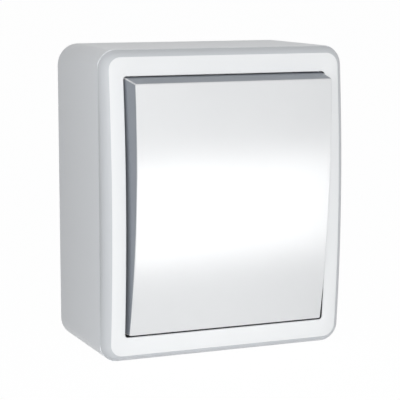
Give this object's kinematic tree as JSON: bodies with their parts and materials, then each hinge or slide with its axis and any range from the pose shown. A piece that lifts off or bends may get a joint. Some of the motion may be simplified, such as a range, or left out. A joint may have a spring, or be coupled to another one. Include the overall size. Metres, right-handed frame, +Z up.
{
  "type": "surface mounted light switch",
  "caption": "White surface mounted light switch: a deep rounded back box, a barrel-fronted frame and a wide bowed rocker key on a two-way see-saw contact mechanism.",
  "frame": {"origin": "middle of the box's back face, where it lies on the wall", "axes": "+Y into the wall, the face and the key look to -Y, +Z up, +X to the right as seen from the front"},
  "size_m": [0.0666, 0.0401, 0.0782],
  "materials": {
    "white_shell": "moulded, half gloss",
    "white_key": "moulded, half gloss",
    "insulator": "moulded, matt",
    "lever_plastic": "moulded, matt",
    "membrane": "soft, matt",
    "carrier_steel": "zinc plated sheet",
    "screw_steel": "zinc plated",
    "spring_steel": "drawn wire",
    "brass_part": "stamped and milled",
    "contact_tip": "silver alloy"
  },
  "bodies": {
    "case": {"back_box": "white_shell", "cable_membrane": "membrane", "earth_terminal": "brass_part", "earth_screw": "screw_steel", "carrier_plate": "carrier_steel", "carrier_screws": "screw_steel", "mechanism_block": "insulator", "mechanism_cover": "insulator", "hollow_rivets": "brass_part", "common_terminal": "brass_part", "upper_terminal": "brass_part", "lower_terminal": "brass_part", "fixed_tips": "contact_tip", "terminal_screws": "screw_steel", "front_frame": "white_shell"},
    "key": {"rocker_key": "white_key", "rocker_lever": "lever_plastic"},
    "spring_plunger": {"plunger": "lever_plastic", "plunger_spring": "spring_steel"},
    "see_saw": {"moving_contact": "brass_part", "moving_tips": "contact_tip"}
  },
  "joints": [
    {"name": "key_hinge", "type": "hinge", "parent": "case", "child": "key", "pos_m": [0, -0.0315, 0], "axis": [1, 0, 0], "range_deg": [-9.4, 0]},
    {"name": "see_saw_pivot", "type": "hinge", "parent": "case", "child": "see_saw", "pos_m": [0, -0.0143, 0], "axis": [1, 0, 0], "range_deg": [0, 12]},
    {"name": "plunger_slide", "type": "slide", "parent": "key", "child": "spring_plunger", "axis": [0, -0.9966, -0.0819], "range_m": [0, 0.0006], "stiffness_N_per_m": 800, "springref_m": -0.0015}
  ],
  "couplings": [
    {"joint": "see_saw_pivot", "follows": "key_hinge", "ratio": -1.2765}
  ]
}
